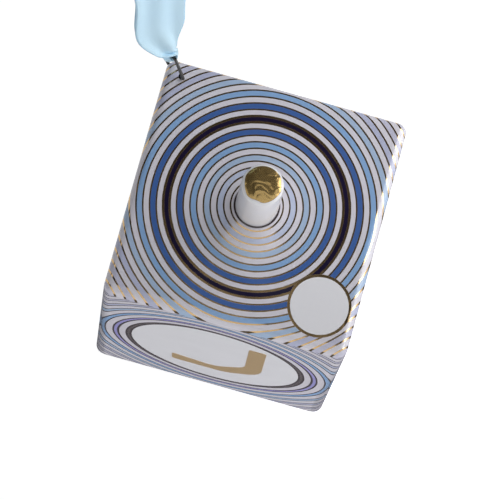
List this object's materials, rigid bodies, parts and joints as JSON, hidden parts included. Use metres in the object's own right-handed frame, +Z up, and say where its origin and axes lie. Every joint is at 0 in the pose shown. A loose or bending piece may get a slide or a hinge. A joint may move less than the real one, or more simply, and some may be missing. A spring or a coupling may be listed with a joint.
{
  "type": "hanging porcelain dreidel",
  "caption": "Hollow porcelain dreidel with a square body, four-sided point and peg stem, hung from a top corner by a wire bail and a knotted satin ribbon.",
  "frame": {"origin": "where a hook bears inside the ribbon loop, just under the knot", "axes": "+Z up as it hangs; the hanging corner, the stem and the tip lie in the YZ plane, with the stem leaning towards -Y"},
  "size_m": [0.0608, 0.0817, 0.1752],
  "materials": {
    "porcelain": "glossy white glaze with printed blue rings and gold lines",
    "porcelain_stem": "glossy white glaze, gold lustre on the rounded end",
    "wire": "drawn wire",
    "ribbon": "pale blue satin"
  },
  "bodies": {
    "ribbon": {"ribbon_loop": "ribbon", "ribbon_knot": "ribbon", "ribbon_tails": "ribbon"},
    "bail": {"wire_bail": "wire"},
    "dreidel": {"body_shell": "porcelain", "stem": "porcelain_stem"}
  },
  "joints": [
    {"name": "bail_on_ribbon", "type": "hinge", "parent": "ribbon", "child": "bail", "pos_m": [0, 0, -0.07], "axis": [0, 1, 0], "range_deg": [-45, 45]},
    {"name": "dreidel_on_bail", "type": "hinge", "parent": "bail", "child": "dreidel", "pos_m": [0, 0, -0.0746], "axis": [0, 1, 0], "range_deg": [-45, 45]}
  ]
}
